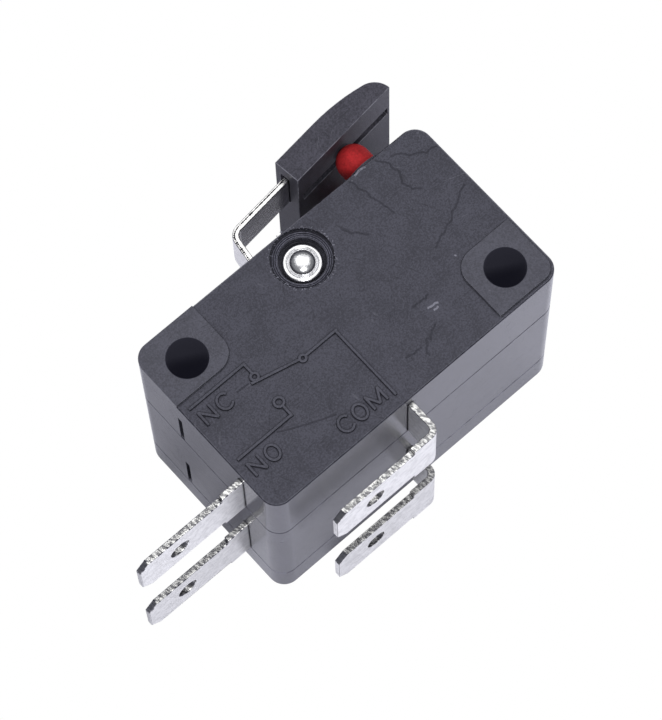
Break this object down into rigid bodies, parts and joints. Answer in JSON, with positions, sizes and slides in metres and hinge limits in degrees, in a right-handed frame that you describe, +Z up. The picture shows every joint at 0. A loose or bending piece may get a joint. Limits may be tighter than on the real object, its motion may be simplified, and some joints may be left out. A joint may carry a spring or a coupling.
{
  "type": "lever micro switch",
  "caption": "Two-pole snap-action lever micro switch: stacked black housing, capped hinge lever over red plungers, straight and bent tab terminals, two mounting holes",
  "frame": {"origin": "on the axis of the mounting hole at the far end, at the flat bottom face", "axes": "+X along the switch away from the straight terminals, +Y towards the plungers and lever, +Z up through the stack to the face with the rivet"},
  "size_m": [0.0388, 0.0245, 0.0204],
  "materials": {
    "housing": "moulded, satin",
    "cap_plastic": "moulded, satin",
    "plunger_plastic": "moulded, semi-gloss",
    "terminal_metal": "bright tin plating",
    "lever_metal": "bright rolled strip",
    "rivet_steel": "bright nickel plating",
    "contact_silver": "silver alloy",
    "spring_bronze": "rolled bronze",
    "rocker_steel": "rolled steel",
    "spring_steel": "drawn wire"
  },
  "bodies": {
    "housing": {"upper_housing": "housing", "middle_housing": "housing", "bottom_cover": "housing", "rivet": "rivet_steel", "upper_no_terminal": "terminal_metal", "upper_no_contact": "contact_silver", "upper_com_terminal": "terminal_metal", "lower_no_terminal": "terminal_metal", "lower_no_contact": "contact_silver", "lower_com_terminal": "terminal_metal"},
    "lever": {"lever_strip": "lever_metal", "lever_cap": "cap_plastic"},
    "upper_button": {"upper_plunger": "plunger_plastic"},
    "upper_rocker_arm": {"upper_rocker": "rocker_steel"},
    "upper_contact_arm": {"upper_arm": "spring_bronze", "upper_moving_contact": "contact_silver"},
    "upper_tension_spring": {"upper_spring": "spring_steel"},
    "lower_button": {"lower_plunger": "plunger_plastic"},
    "lower_rocker_arm": {"lower_rocker": "rocker_steel"},
    "lower_contact_arm": {"lower_arm": "spring_bronze", "lower_moving_contact": "contact_silver"},
    "lower_tension_spring": {"lower_spring": "spring_steel"}
  },
  "joints": [
    {"name": "lever_hinge", "type": "hinge", "parent": "housing", "child": "lever", "pos_m": [-0.0134, 0.0117, 0.0163], "axis": [0, 0, 1], "range_deg": [-9.5, 0], "stiffness_Nm_per_rad": 0.11, "springref_deg": 8.59},
    {"name": "upper_plunger_slide", "type": "slide", "parent": "housing", "child": "upper_button", "axis": [0, 1, 0], "range_m": [-0.00195, 0]},
    {"name": "upper_rocker_pivot", "type": "hinge", "parent": "housing", "child": "upper_rocker_arm", "pos_m": [-0.0095, 0.003, 0.0163], "axis": [0, 0, 1], "range_deg": [-15.2, 0]},
    {"name": "upper_arm_pivot", "type": "hinge", "parent": "housing", "child": "upper_contact_arm", "pos_m": [-0.0063, 0.0054, 0.0163], "axis": [0, 0, 1], "range_deg": [0, 3.25]},
    {"name": "upper_spring_pivot", "type": "hinge", "parent": "upper_contact_arm", "child": "upper_tension_spring", "pos_m": [-0.0169, 0.00575, 0.0163], "axis": [0, 0, 1], "range_deg": [-6.7, 0], "deforming": ["upper_spring"]},
    {"name": "lower_plunger_slide", "type": "slide", "parent": "housing", "child": "lower_button", "axis": [0, 1, 0], "range_m": [-0.00195, 0]},
    {"name": "lower_rocker_pivot", "type": "hinge", "parent": "housing", "child": "lower_rocker_arm", "pos_m": [-0.0095, 0.003, 0.0061], "axis": [0, 0, 1], "range_deg": [-15.2, 0]},
    {"name": "lower_arm_pivot", "type": "hinge", "parent": "housing", "child": "lower_contact_arm", "pos_m": [-0.0063, 0.0054, 0.0061], "axis": [0, 0, 1], "range_deg": [0, 3.25]},
    {"name": "lower_spring_pivot", "type": "hinge", "parent": "lower_contact_arm", "child": "lower_tension_spring", "pos_m": [-0.0169, 0.00575, 0.0061], "axis": [0, 0, 1], "range_deg": [-6.7, 0], "deforming": ["lower_spring"]}
  ],
  "couplings": [
    {"joint": "upper_plunger_slide", "follows": "lever_hinge", "m_per_rad": 0.0116},
    {"joint": "upper_rocker_pivot", "follows": "lever_hinge", "ratio": 1.58},
    {"joint": "upper_arm_pivot", "follows": "lever_hinge", "ratio": -0.3368},
    {"joint": "upper_spring_pivot", "follows": "lever_hinge", "ratio": 0.701},
    {"joint": "lower_plunger_slide", "follows": "lever_hinge", "m_per_rad": 0.0116},
    {"joint": "lower_rocker_pivot", "follows": "lever_hinge", "ratio": 1.58},
    {"joint": "lower_arm_pivot", "follows": "lever_hinge", "ratio": -0.3368},
    {"joint": "lower_spring_pivot", "follows": "lever_hinge", "ratio": 0.701}
  ]
}
